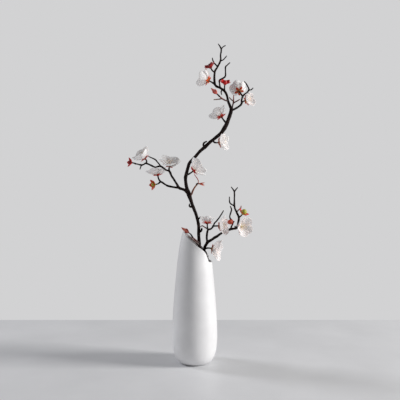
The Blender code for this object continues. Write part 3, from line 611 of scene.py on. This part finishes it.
def make_vase():
    """The wall and floor are spun with a level rounded lip, and the wall's rings are then moved up and down
    until the lip follows the mouth's slanting curve."""
    outer = smooth([Vector((radius, height)) for radius, height in VASE_PROFILE], 7)
    table = [(point.y, point.x) for point in outer]
    top = table[-1][0]

    def wall(height):
        return WALL_LOW + (WALL_TOP - WALL_LOW) * min(height / top, 1)

    lip = [(wall(top) / 2 * math.cos(turn), wall(top) / 2 * math.sin(turn))
           for turn in (math.radians(20 * step) for step in range(1, 9))]
    centre = table[-1][1] - wall(top) / 2
    profile = FOOT_PROFILE + [(point.x, point.y) for point in outer]
    profile += [(centre + out, top + up) for out, up in lip]
    profile += [(point.x - wall(point.y), point.y) for point in reversed(outer) if point.y > 20]
    profile += FLOOR_PROFILE
    body = lathe("vase_body", profile, VASE_COLUMNS, glazed_porcelain())
    heights = {}
    for vert in body.data.vertices:
        height = vert.co.z / MM
        if height <= STRAIGHT_BELOW:
            continue
        radius = math.hypot(vert.co.x, vert.co.y) / MM
        column = round(math.atan2(vert.co.y, vert.co.x), 4)
        if column not in heights:
            heights[column] = mouth_height(lambda level: between(table, level), column)
        rise = (heights[column] - STRAIGHT_BELOW) / (top - STRAIGHT_BELOW)
        inward = between(table, min(height, top)) - radius
        moved = STRAIGHT_BELOW + (min(height, top) - STRAIGHT_BELOW) * rise
        radius = between(table, moved) - inward
        vert.co = Vector((math.cos(column) * radius, math.sin(column) * radius, 0)) * MM
        vert.co.z = (moved + max(height - top, 0)) * MM
    body.data.materials.append(bare_stoneware())
    for face in body.data.polygons:
        if face.center.z < 0.4 * MM:
            face.material_index = 1
    return body


def tube(name, points, sides, finish):
    """A closed round limb along a smooth line, uneven by a few hundredths, with a rounded end."""
    line = smooth([Vector((*place, radius * MM)) for place, radius in points], LINE_STEP)
    ahead = (line[-1].xyz - line[-2].xyz).normalized()
    tip = line[-1]
    for share, beyond in ((0.85, 0.45), (0.5, 0.85), (0.15, 1)):
        line.append(Vector((*(tip.xyz + ahead * tip.w * beyond), tip.w * share)))
    curve = bpy.data.curves.new(name, "CURVE")
    curve.dimensions = "3D"
    curve.bevel_depth = 1
    curve.bevel_resolution = sides // 2 - 2
    curve.use_fill_caps = True
    spline = curve.splines.new("POLY")
    spline.points.add(len(line) - 1)
    for target, point in zip(spline.points, line):
        target.co = (*point.xyz, 1)
        target.radius = point.w * (1 + UNEVENNESS * noise.noise(point.xyz * UNEVEN_WAVES))
    obj = bpy.data.objects.new(name, curve)
    bpy.context.collection.objects.link(obj)
    only(obj)
    bpy.ops.object.convert(target="MESH")
    obj = bpy.context.object
    bpy.ops.object.mode_set(mode="EDIT")
    close_mesh(TUBE_WELD)
    growth = obj.data.attributes.new("growth", "FLOAT", "POINT")
    for vert, value in zip(obj.data.vertices, growth.data):
        nearest = min(range(len(line)), key=lambda index: (line[index].xyz - vert.co).length_squared)
        value.value = nearest / (len(line) - 1)
    wear(obj, finish)
    return obj


def limb_points(limb):
    """A limb's (place, radius) pairs, with the forks' names replaced by their places."""
    points = []
    for entry in limb:
        if isinstance(entry[0], str):
            points.append((in_depth(*FORKS[entry[0]]), entry[1]))
        else:
            points.append((in_depth(*entry[:3]), entry[3]))
    return points


def stalk_points(root, end, facing, thick, thin):
    """A flower stalk that leaves its limb and runs into the middle of a calyx."""
    start = in_depth(*(FORKS[root[0]] if len(root) == 1 else root))
    facing = Vector(facing).normalized()
    finish = in_depth(*end) + facing * 0.5 * MM
    neck = finish - facing * 2.8 * MM
    bend = neck - facing * (neck - start).length * 0.4
    middle = start * 0.25 + bend * 0.5 + neck * 0.25
    return [(start, thick), (middle, (thick + thin) / 2), (neck, thin), (finish, thin)]


def add_grain(obj, limbs):
    """Gives the fused limbs a lengthwise grain: each vertex's offset from the nearest limb's middle line,
    and its way along that line, in metres."""
    stations = []
    for points in limbs:
        line = smooth([Vector((*place, radius * MM)) for place, radius in points], LINE_STEP)
        way = 0
        for start, end in zip(line, line[1:]):
            ahead = (end.xyz - start.xyz).normalized()
            stations.append((start.xyz, ahead, way))
            way += (end.xyz - start.xyz).length
    tree = KDTree(len(stations))
    for index, (place, _, _) in enumerate(stations):
        tree.insert(place, index)
    tree.balance()
    grain = obj.data.attributes.new("grain", "FLOAT_VECTOR", "POINT")
    for vert, value in zip(obj.data.vertices, grain.data):
        place, ahead, way = stations[tree.find(vert.co)[1]]
        offset = vert.co - place
        side = ahead.cross(Vector((0, 1, 0))).normalized()
        value.vector = (offset.dot(side), offset.y, way + offset.dot(ahead))


def make_branch():
    """Bark limbs and stalks fused into one body and eased at the forks, and the young twigs."""
    bark = plum_bark()
    limbs = []
    twigs = []
    lines = []
    for name, limb in LIMBS.items():
        if name in YOUNG_LIMBS:
            finish = YOUNG_FINISHES[YOUNG_LIMBS[name]]
            twigs.append(tube(name, limb_points(limb), 10, finish))
        else:
            sides = 16 if name in ("trunk", "left_bough", "right_bough") else 12
            lines.append(limb_points(limb))
            limbs.append(tube(name, limb_points(limb), sides, bark))
    for name, (calyx, facing, *_, root) in BLOOMS.items():
        limbs.append(tube(f"{name}_stalk", stalk_points(root, calyx, facing, *BLOOM_STALK), 10, bark))
    for name, (base, facing, _, _, root, *_) in BUDS.items():
        limbs.append(tube(f"{name}_bud_stalk", stalk_points(root, base, facing, *BUD_STALK), 10, bark))

    joins = bpy.data.collections.new("limbs")
    bpy.context.scene.collection.children.link(joins)
    for limb in limbs[1:]:
        bpy.context.collection.objects.unlink(limb)
        joins.objects.link(limb)
    trunk = limbs[0]
    modify(trunk, "BOOLEAN", operation="UNION", operand_type="COLLECTION", collection=joins,
           solver="MANIFOLD")
    apply_modifiers(trunk)
    for limb in limbs[1:]:
        bpy.data.objects.remove(limb, do_unlink=True)
    bpy.data.collections.remove(joins)
    trunk.name = "bark_limbs"

    near = trunk.vertex_groups.new(name="forks")
    forks = [in_depth(*place) for place in FORKS.values()]
    for vert in trunk.data.vertices:
        closeness = max(1 - (vert.co - place).length / FORK_REACH for place in forks)
        if closeness > 0:
            near.add([vert.index], min(1, closeness * 2), "REPLACE")
    modify(trunk, "SMOOTH", factor=0.5, iterations=6, vertex_group="forks")
    lumps = bpy.data.textures.new("bark_lumps", "CLOUDS")
    lumps.noise_scale = LUMP_SIZE
    modify(trunk, "DISPLACE", texture=lumps, texture_coords="LOCAL", strength=LUMP_HEIGHT, mid_level=0.5)
    apply_modifiers(trunk)
    add_grain(trunk, lines)
    bpy.ops.object.shade_smooth()
    young = joined("young_twigs", twigs)
    bpy.ops.object.shade_smooth()
    return trunk, young


def master_blade(name, rows, columns, widths, rounding):
    """A flat blade, one unit long and wide, that stands on the origin: a grid whose columns are shortened
    towards the edges to round its tip, and whose rows are narrowed to its outline."""
    bpy.ops.object.select_all(action="DESELECT")
    bpy.ops.mesh.primitive_grid_add(x_subdivisions=columns, y_subdivisions=rows, size=1,
                                    location=(0, 0, 0.5), rotation=(math.pi / 2, 0, 0))
    obj = bpy.context.object
    obj.name = name
    bpy.ops.object.transform_apply(location=True, rotation=True, scale=True)
    obj.data.uv_layers[0].name = "blade"
    side = {vert.index: round(vert.co.x * 2, 3) for vert in obj.data.vertices}
    share = {vert.index: round(vert.co.z, 3) for vert in obj.data.vertices}
    margin = obj.vertex_groups.new(name="margin")
    for index in side:
        margin.add([index], min(1, share[index] * (0.35 + 0.65 * abs(side[index]) ** 2)), "REPLACE")
    bpy.ops.object.mode_set(mode="EDIT")
    for table, factors in ((side, lambda place: (1, 1, 1 - rounding * place * place)),
                           (share, lambda place: (widths(place), 1, 1))):
        for place in sorted(set(table.values())):
            select_points(obj, {index for index in table if table[index] == place})
            bpy.ops.transform.resize(value=factors(place), center_override=(0, 0, 0))
    bpy.ops.object.mode_set(mode="OBJECT")
    bpy.ops.object.shade_smooth()
    return obj


def blade(master, name, size, cup, root, angles, twist, turn):
    """A copy of the blade at its size, cupped across, curled along, and set at its root about the axis.
    Angles are measured from the axis, at the root and at the tip."""
    length, width = size
    obj = own_copy(master, name)
    obj.data.transform(Matrix.Rotation(twist, 4, "Z") @ Matrix.Diagonal((width * MM, 1, length * MM, 1)))
    for axis, angle in (("Z", cup), ("X", math.radians(angles[0] - angles[1]))):
        modify(obj, "SIMPLE_DEFORM", deform_method="BEND", deform_axis=axis, angle=angle)
    apply_modifiers(obj)
    lean = math.radians(angles[0])
    upright = Matrix(((0, -math.cos(lean), math.sin(lean), 0), (1, 0, 0, 0),
                      (0, math.sin(lean), math.cos(lean), 0), (0, 0, 0, 1)))
    seat = Matrix.Translation((root[0] * MM, 0, root[1] * MM))
    obj.data.transform(Matrix.Rotation(turn, 4, "Z") @ seat @ upright)
    return obj


def facing_frame(base, facing, roll):
    """Placing with +Z along the facing direction."""
    turn = Vector(facing).normalized().to_track_quat("Z", "Y").to_matrix().to_4x4()
    return Matrix.Translation(in_depth(*base)) @ turn @ Matrix.Rotation(math.radians(roll), 4, "Z")


def gathered(name, place, sheets, skin, thickness, ripple, core):
    """Sheets that are rippled at their margins by their place and thickened, joined with their core."""
    piece = joined(name, sheets)
    piece.data.transform(place)
    wear(piece, skin)
    waves = bpy.data.textures.get("petal_waves") or bpy.data.textures.new("petal_waves", "CLOUDS")
    waves.noise_scale = RIPPLE_SIZE
    modify(piece, "DISPLACE", texture=waves, texture_coords="GLOBAL", vertex_group="margin",
           strength=ripple * MM, mid_level=0.5)
    modify(piece, "SOLIDIFY", thickness=thickness * MM, offset=0)
    apply_modifiers(piece)
    core.data.transform(place)
    return joined(name, [piece, core])


def make_petals(name, place, length, opening, skin, disc_skin, draw):
    """Five overlapping petals on their disc."""
    middle = math.radians(sum(opening) / 2)
    out = PETAL_ROOT[0] + length / 2 * math.sin((math.radians(opening[0]) + middle) / 2)
    cup = 1.2 * length * PETAL_BREADTH * math.cos(middle) / out
    sheets = []
    for index in range(PETALS):
        turn = math.tau * index / PETALS + draw.uniform(-0.06, 0.06)
        reach = length * draw.uniform(0.95, 1.05)
        angles = (opening[0] + draw.uniform(-3, 3), opening[1] + draw.uniform(-6, 6))
        size = (reach, length * PETAL_BREADTH * draw.uniform(0.97, 1.05))
        sheets.append(blade(PETAL_MASTER, f"{name}_petal", size, cup * draw.uniform(0.85, 1.15), PETAL_ROOT,
                            angles, PETAL_TWIST, turn))
    disc = lathe(f"{name}_disc", PETAL_DISC, 20, disc_skin)
    return gathered(f"{name}_petals", place, sheets, skin, PETAL_THICKNESS, length * PETAL_RIPPLE, disc)


def make_calyx(name, place, sepal, cup, draw):
    """Five spread sepals around their cup."""
    sheets = []
    for index in range(PETALS):
        turn = math.tau * (index + 0.5) / PETALS + draw.uniform(-0.05, 0.05)
        size = (SEPAL_LENGTH * draw.uniform(0.92, 1.04), SEPAL_WIDTH * draw.uniform(0.94, 1.06))
        angles = (SEPAL_ANGLES[0] + draw.uniform(-3, 3), SEPAL_ANGLES[1] + draw.uniform(-5, 5))
        sheets.append(blade(SEPAL_MASTER, f"{name}_sepal", size, SEPAL_CUP, SEPAL_ROOT, angles,
                            draw.uniform(-0.1, 0.1), turn))
    bowl = lathe(f"{name}_cup", CUP, 20, cup)
    return gathered(f"{name}_calyx", place, sheets, sepal, SEPAL_THICKNESS, SEPAL_RIPPLE, bowl)


def make_stamens(name, place, length, draw):
    """A tuft of curved filaments with their anthers around the pistil, on its disc."""
    threads = []
    for index in range(STAMENS):
        share = (index + 0.5) / STAMENS
        lean = math.radians(STAMEN_LEANS[0] + (STAMEN_LEANS[1] - STAMEN_LEANS[0]) * share**0.7)
        turn = index * math.pi * (3 - math.sqrt(5)) + draw.uniform(-0.2, 0.2)
        reach = length * draw.uniform(*STAMEN_REACH)
        thread = own_copy(FILAMENT_MASTER, f"{name}_filament")
        thread.data.transform(Matrix.Diagonal((MM, MM, reach * MM, 1)))
        top = own_copy(ANTHER_MASTER, f"{name}_anther")
        top.data.transform(Matrix.Translation((reach * 0.12 * MM, 0, reach * MM))
                           @ Matrix.Rotation(draw.uniform(0, math.tau), 4, "Z")
                           @ Matrix.Rotation(draw.uniform(0.2, 1.2), 4, "X"))
        aim = (place @ Matrix.Rotation(turn, 4, "Z")
               @ Matrix.Translation((1.3 * share * MM, 0, STAMEN_FOOT * MM)) @ Matrix.Rotation(lean, 4, "Y"))
        thread.data.transform(aim)
        top.data.transform(aim)
        threads += [thread, top]
    disc = lathe(f"{name}_nectary", STAMEN_DISC, 14, SMALL_PARTS["nectary"])
    disc.data.transform(place)
    return joined(f"{name}_stamens", threads + [disc])


def filament_master():
    """A thread one unit high that bows outwards."""
    bpy.ops.object.select_all(action="DESELECT")
    bpy.ops.mesh.primitive_cylinder_add(vertices=5, radius=FILAMENT_RADIUS, depth=1, location=(0, 0, 0.5))
    obj = bpy.context.object
    bpy.ops.object.transform_apply(location=True)
    bpy.ops.object.mode_set(mode="EDIT")
    for height, bow in ((0.33, -0.35), (0.66, -0.3)):
        bpy.ops.mesh.select_all(action="SELECT")
        bpy.ops.mesh.bisect(plane_co=(0, 0, height), plane_no=(0, 0, 1))
        bpy.ops.transform.translate(value=(bow, 0, 0))
    bpy.ops.object.mode_set(mode="OBJECT")
    wear(obj, SMALL_PARTS["filament"])
    bpy.ops.object.shade_smooth()
    return obj


def anther_master():
    """A pollen sac: a small ball drawn out, with a groove along it."""
    bpy.ops.object.select_all(action="DESELECT")
    bpy.ops.mesh.primitive_uv_sphere_add(segments=8, ring_count=6, radius=1)
    obj = bpy.context.object
    bpy.ops.object.mode_set(mode="EDIT")
    groove = {vert.index for vert in obj.data.vertices if abs(vert.co.x) < 0.1 and abs(vert.co.z) < 0.9}
    select_points(obj, groove)
    bpy.ops.transform.resize(value=(1, 0.55, 1), center_override=(0, 0, 0))
    bpy.ops.mesh.select_all(action="SELECT")
    bpy.ops.transform.resize(value=[size * MM for size in ANTHER_SIZE], center_override=(0, 0, 0))
    bpy.ops.object.mode_set(mode="OBJECT")
    wear(obj, SMALL_PARTS["anther"])
    bpy.ops.object.shade_smooth()
    return obj


def make_bud(name, base, facing, length, form, lobe_skin, body_skin, draw):
    """A bud's or a bare calyx's body in its lobes."""
    profile, (count, out, up, reach, width, low, high) = BUD_FORMS[form]
    profile = [(radius * length, height * length) for radius, height in profile]
    profile = [(point.x, point.y) for point in smooth([Vector(point) for point in profile], 0.6)]
    place = facing_frame(base, facing, 0)
    sheets = []
    for index in range(count):
        turn = math.tau * (index + 0.5) / count + draw.uniform(-0.06, 0.06)
        size = (reach * length * draw.uniform(0.95, 1.05), width * length)
        angles = (low + draw.uniform(-3, 3), high + draw.uniform(-6, 6))
        sheets.append(blade(SEPAL_MASTER, f"{name}_lobe", size, LOBE_CUP, (out * length, up * length),
                            angles, draw.uniform(-0.1, 0.1), turn))
    body = lathe(f"{name}_bud_body", [(abs(x), y) for x, y in profile], 30, body_skin)
    if form == "bud":
        for vert in body.data.vertices:
            turn = math.atan2(vert.co.y, vert.co.x) + 1.6 * vert.co.z / (length * MM)
            fold = (turn * 3 / math.tau) % 1
            grown = 1 - 0.13 * (1 - fold) * min(1, vert.co.z / (length * MM) * 3)
            vert.co.x *= grown
            vert.co.y *= grown
    return gathered(f"{name}_bud", place, sheets, lobe_skin, SEPAL_THICKNESS, SEPAL_RIPPLE, body)


def finish_piece(piece, slot_name, *nodes):
    """Hands a piece over: it rides on the model's body and stands for its nodes; its slot name is not used.
    """
    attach(piece, "root")
    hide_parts(*nodes)


def area_light(name, place, target, size, power, code):
    lamp = bpy.data.lights.new(name, "AREA")
    lamp.shape = "RECTANGLE"
    lamp.size, lamp.size_y = size
    lamp.energy = power
    lamp.color = linear(code)[:3]
    obj = bpy.data.objects.new(name, lamp)
    obj.location = place
    obj.rotation_euler = (Vector(target) - Vector(place)).to_track_quat("-Z", "Y").to_euler()
    bpy.context.scene.collection.objects.link(obj)


def make_studio():
    """Camera, table top, plain surroundings and soft lights: the main one from the right."""
    camera = bpy.data.objects.new("camera", bpy.data.cameras.new("camera"))
    camera.location = EYE * MM
    camera.rotation_euler = (math.pi / 2, 0, 0)
    camera.data.lens = LENS
    camera.data.sensor_width = 36
    bpy.context.scene.collection.objects.link(camera)
    bpy.context.scene.camera = camera

    bpy.ops.object.select_all(action="DESELECT")
    bpy.ops.mesh.primitive_plane_add(size=2 * TABLE_HALF, location=(0, TABLE_BACK - TABLE_HALF, 0))
    table = bpy.context.object
    table.name = "table_top"
    bpy.ops.object.transform_apply(location=True)
    made, shader = new_material("pale_table")
    place = add(made, "TexCoord").outputs["Object"]
    cloud = add(made, "TexNoise", {"Vector": place, "Scale": 6.0, "Detail": 3.0})
    tint = add(made, "ValToRGB", {"Fac": cloud}, stops=[(0.3, "#d6d7d9"), (0.7, "#dedfe1")])
    connect(made, shader, {"Base Color": tint, "Roughness": 0.45})
    wear(table, made)
    table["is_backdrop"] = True

    world = bpy.data.worlds.new("studio")
    bpy.context.scene.world = world
    world.use_nodes = True
    seen = add(world, "Background", {"Color": linear("#d2d2d3")})
    fill = world.node_tree.nodes["Background"]
    connect(world, fill, {"Color": linear("#dcdcde"), "Strength": 0.33})
    ray = add(world, "LightPath").outputs["Is Camera Ray"]
    choice = add(world, "MixShader",
                 {"Fac": ray, 1: fill, 2: seen})
    connect(world, world.node_tree.nodes["World Output"], {"Surface": choice})

    area_light("main_light", (3.2, -0.42, 1.5), (0, 0, 0.35), (0.9, 1.3), 120, "#fffdfb")
    area_light("side_light", (-2.6, 1.05, 1.8), (0, 0, 0.3), (0.8, 1.2), 42, "#fbfbff")
    bpy.context.scene.view_settings.view_transform = "Standard"


MOUTH_LINE = [(point.x, point.y) for point in smooth([Vector(point) for point in MOUTH_CURVE], 2)]
YOUNG_FINISHES = {
    "red": young_wood("red_shoot", "#4a1c14", "#8a4a2a", "#c9805a"),
    "sprig": young_wood("red_sprig", "#a05a3a", "#a8302c", "#c2342e"),
    "dull": young_wood("dull_shoot", "#4a332e", "#86685f", "#9c8780"),
    "brown": young_wood("brown_shoot", "#2c1512", "#70302a", "#a0564a"),
}
SMALL_PARTS = {key: plain_plant(*row) for key, row in {
    "filament": ("stamen_filament", "#efe3d2", "#f8f1e6", 0.6, 1),
    "anther": ("pollen_anther", "#c9963f", "#e6bd68", 0.85, 0.15),
    "nectary": ("yellow_nectary", "#b9a35a", "#d2c07c", 0.5, 0.5),
    "disc": ("petal_disc", "#d6c8a2", "#e8dcc2", 0.6, 0.8),
    "olive": ("olive_cup", "#6d6a2c", "#8c8a42", 0.55, 0.9),
    "russet": ("russet_cup", "#7a3420", "#9c4c2a", 0.55, 0.9),
    "green": ("yellow_green_knob", "#8f9a2e", "#c2c251", 0.5, 1.2),
    "dark_red": ("dark_red_knob", "#5a0c0a", "#8e1614", 0.5, 1),
    "red": ("red_knob", "#b01414", "#d0262a", 0.5, 1),
    "rose": ("rose_bud_petals", "#c8544a", "#de8078", 0.55, 1.5),
    "orange": ("orange_red_bud_petals", "#9c2c14", "#c44a22", 0.5, 1.5),
    "salmon": ("salmon_bud_petals", "#cc5a48", "#de8470", 0.55, 1.5),
}.items()}
SEPALS = {key: sepal_skin(f"{key}_sepal", *row) for key, row in {
    "crimson": ("#7a1c12", "#c21216", "#d61c20"),
    "dark_red": ("#5a120c", "#961010", "#b41a16"),
    "red": ("#8a3018", "#cc2014", "#d8301f"),
    "orange": ("#9a7422", "#dc5a1c", "#d8381a"),
    # russet is the orange sepal colour darkened: painted shade for sepals seen on a shadow side
    "russet": ("#8a7424", "#b04416", "#bc3014"),
    "rose": ("#8a3426", "#c24438", "#d0605a"),
    "salmon": ("#b84a24", "#d65f40", "#dc7a68"),
}.items()}
PETAL_SKINS = {key: petal_skin(f"{key}_petal", *row) for key, row in {
    "white": ("#dccfae", "#f9f4f2", "#fbf8f7"),
    "blushed": ("#e4d4ba", "#faf3f1", "#faf1f0"),
}.items()}
# Each bloom's sepal finish and cup finish; a russet sepal finish holds painted shade for sepals on a shadow
# side
BLOOM_SEPALS = {
    "crown_left": ("orange", "russet"), "crown_back": ("russet", "russet"),
    "crown_right": ("orange", "olive"), "upper_left": ("red", "russet"),
    "upper_right": ("russet", "russet"), "middle": ("crimson", "russet"),
    "left_outer": ("crimson", "dark_red"), "left_inner": ("russet", "olive"),
    "left_lower": ("red", "dark_red"), "right_inner": ("red", "russet"),
    "right_middle": ("russet", "russet"), "right_outer": ("russet", "russet"),
    "mouth": ("russet", "olive"),
}

make_studio()
finish_piece(make_vase(), "vase", "vase")
bark_limbs, young_twigs = make_branch()
finish_piece(bark_limbs, "branch", "branch")
finish_piece(young_twigs, "branch", "branch")

PETAL_MASTER = master_blade("petal_master", 14, 12,
                            lambda share: 0.1 + 0.9 * math.sin(math.pi * 0.74 * share**1.3), 0.2)
SEPAL_WIDTHS = [(0, 0.45), (0.2, 0.75), (0.45, 1), (0.65, 0.96), (0.82, 0.76), (0.93, 0.48), (1, 0.24)]
SEPAL_MASTER = master_blade("sepal_master", 9, 6, lambda share: between(SEPAL_WIDTHS, share), 0.08)
FILAMENT_MASTER = filament_master()
ANTHER_MASTER = anther_master()

drawn = random.Random(SEED)
for bloom, (calyx, facing, length, low, high, roll, _) in BLOOMS.items():
    spot = facing_frame(calyx, facing, roll)
    sepal, cup = BLOOM_SEPALS[bloom]
    skin = PETAL_SKINS["blushed" if bloom in BLUSHED_BLOOMS else "white"]
    petals = make_petals(bloom, spot, length, (low, high), skin, SMALL_PARTS["disc"], drawn)
    finish_piece(petals, "petals", f"bloom_{bloom}_petals")
    finish_piece(make_calyx(bloom, spot, SEPALS[sepal], SMALL_PARTS[cup], drawn), "sepals",
                 f"bloom_{bloom}_calyx")
    finish_piece(make_stamens(bloom, spot, length, drawn), "stamens", f"bloom_{bloom}_stamens")
for bud, (base, facing, length, form, _, lobes, body) in BUDS.items():
    made_bud = make_bud(bud, base, facing, length, form, SEPALS[lobes], SMALL_PARTS[body], drawn)
    finish_piece(made_bud, "sepals", f"bud_{bud}")
for master in (PETAL_MASTER, SEPAL_MASTER, FILAMENT_MASTER, ANTHER_MASTER):
    bpy.data.objects.remove(master, do_unlink=True)

low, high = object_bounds()
